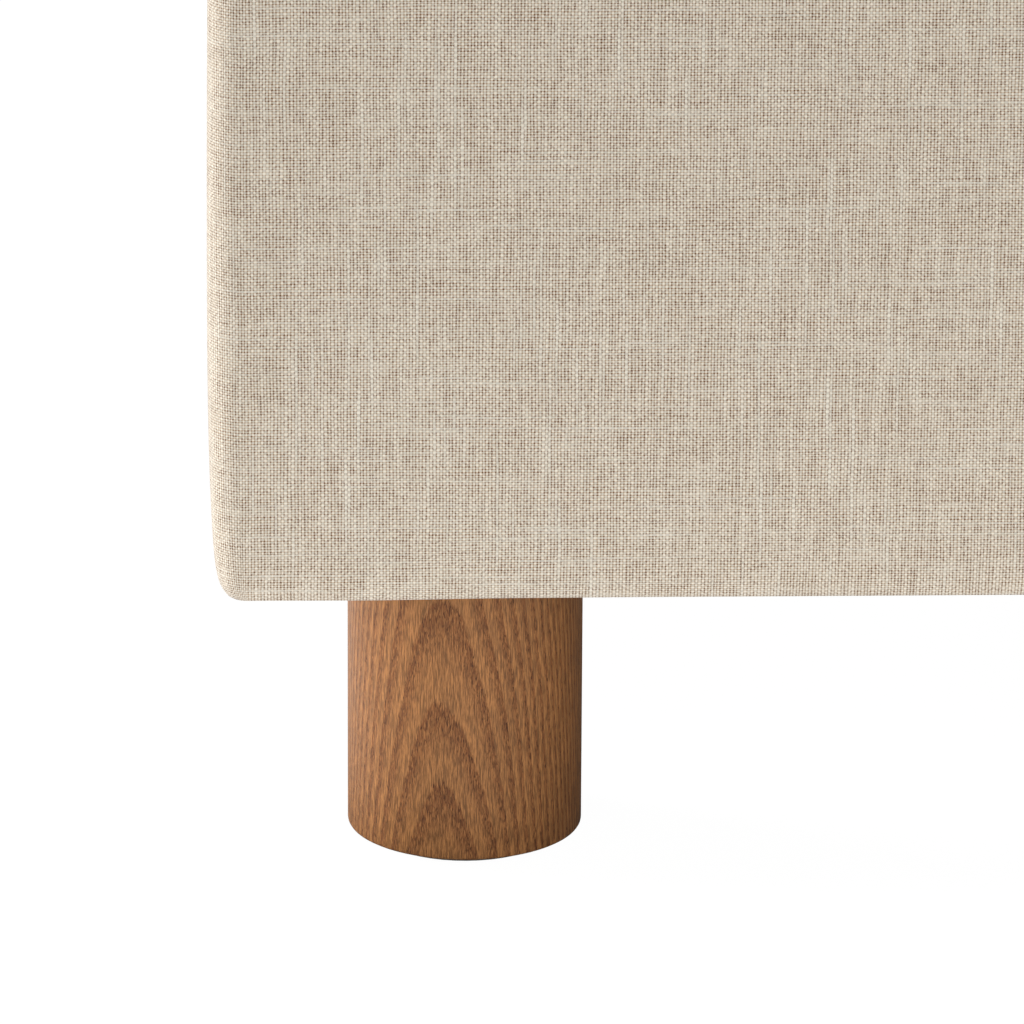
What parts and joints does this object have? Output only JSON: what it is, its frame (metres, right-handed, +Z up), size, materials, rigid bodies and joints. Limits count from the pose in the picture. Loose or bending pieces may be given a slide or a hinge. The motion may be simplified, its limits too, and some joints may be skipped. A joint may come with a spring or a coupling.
{
  "type": "storage ottoman",
  "caption": "Rectangular upholstered bench ottoman on round wooden legs, with a padded lid hinged at the back over a lined storage box; gas struts hold the lid open.",
  "frame": {"origin": "centre of the overall footprint, on the floor", "axes": "+X to the right along the long side, +Y from the front to the hinged back, +Z up"},
  "size_m": [0.9, 0.5, 0.44],
  "materials": {
    "linen_upholstery": "matte",
    "lining_cloth": "matte",
    "black_cloth": "matte",
    "foam": "matte",
    "felt": "matte",
    "plywood": "matte",
    "pine": "matte",
    "stained_ash": "satin",
    "zinc_steel": "satin",
    "black_steel": "satin",
    "chromed_rod": "polished",
    "black_nylon": "matte",
    "bumper_rubber": "matte"
  },
  "bodies": {
    "base": {"back_foam": "foam", "back_left_glide": "felt", "back_left_hanger_bolt": "zinc_steel", "back_left_leg": "stained_ash", "back_left_post": "pine", "back_left_tee_nut": "zinc_steel", "back_panel": "plywood", "back_right_glide": "felt", "back_right_hanger_bolt": "zinc_steel", "back_right_leg": "stained_ash", "back_right_post": "pine", "back_right_tee_nut": "zinc_steel", "body_cover": "linen_upholstery", "bottom_panel": "plywood", "dust_cover": "black_cloth", "floor_board": "lining_cloth", "front_foam": "foam", "front_left_glide": "felt", "front_left_hanger_bolt": "zinc_steel", "front_left_leg": "stained_ash", "front_left_post": "pine", "front_left_tee_nut": "zinc_steel", "front_panel": "plywood", "front_right_glide": "felt", "front_right_hanger_bolt": "zinc_steel", "front_right_leg": "stained_ash", "front_right_post": "pine", "front_right_tee_nut": "zinc_steel", "left_foam": "foam", "left_hinge_lower_leaf": "zinc_steel", "left_hinge_pin": "zinc_steel", "left_lower_bracket": "black_steel", "left_panel": "plywood", "left_rim_bumper": "bumper_rubber", "right_foam": "foam", "right_hinge_lower_leaf": "zinc_steel", "right_hinge_pin": "zinc_steel", "right_lower_bracket": "black_steel", "right_panel": "plywood", "right_rim_bumper": "bumper_rubber", "wall_lining": "lining_cloth"},
    "lid": {"left_hinge_upper_leaf": "zinc_steel", "left_upper_bracket": "black_steel", "lid_board": "plywood", "lid_cover": "linen_upholstery", "lid_foam": "foam", "lid_lining": "lining_cloth", "right_hinge_upper_leaf": "zinc_steel", "right_upper_bracket": "black_steel"},
    "strut_rod_left": {"left_rod_socket": "black_nylon", "left_strut_rod": "chromed_rod"},
    "strut_tube_left": {"left_strut_tube": "black_steel", "left_tube_socket": "black_nylon"},
    "strut_rod_right": {"right_rod_socket": "black_nylon", "right_strut_rod": "chromed_rod"},
    "strut_tube_right": {"right_strut_tube": "black_steel", "right_tube_socket": "black_nylon"}
  },
  "joints": [
    {"name": "lid_hinge", "type": "hinge", "parent": "base", "child": "lid", "pos_m": [0, 0.2468, 0.337], "axis": [-1, 0, 0], "range_deg": [0, 80]},
    {"name": "rod_pivot_left", "type": "hinge", "parent": "base", "child": "strut_rod_left", "pos_m": [-0.4078, 0.18004, 0.14847], "axis": [-1, 0, 0], "range_deg": [0, 40]},
    {"name": "tube_pivot_left", "type": "hinge", "parent": "lid", "child": "strut_tube_left", "pos_m": [-0.4078, 0.04707, 0.32653], "axis": [-1, 0, 0], "range_deg": [-40, 0]},
    {"name": "rod_pivot_right", "type": "hinge", "parent": "base", "child": "strut_rod_right", "pos_m": [0.4078, 0.18004, 0.14847], "axis": [-1, 0, 0], "range_deg": [0, 40]},
    {"name": "tube_pivot_right", "type": "hinge", "parent": "lid", "child": "strut_tube_right", "pos_m": [0.4078, 0.04707, 0.32653], "axis": [-1, 0, 0], "range_deg": [-40, 0]}
  ],
  "couplings": [
    {"joint": "rod_pivot_left", "follows": "lid_hinge", "ratio": 0.5},
    {"joint": "tube_pivot_left", "follows": "lid_hinge", "ratio": -0.5},
    {"joint": "rod_pivot_right", "follows": "lid_hinge", "ratio": 0.5},
    {"joint": "tube_pivot_right", "follows": "lid_hinge", "ratio": -0.5}
  ]
}
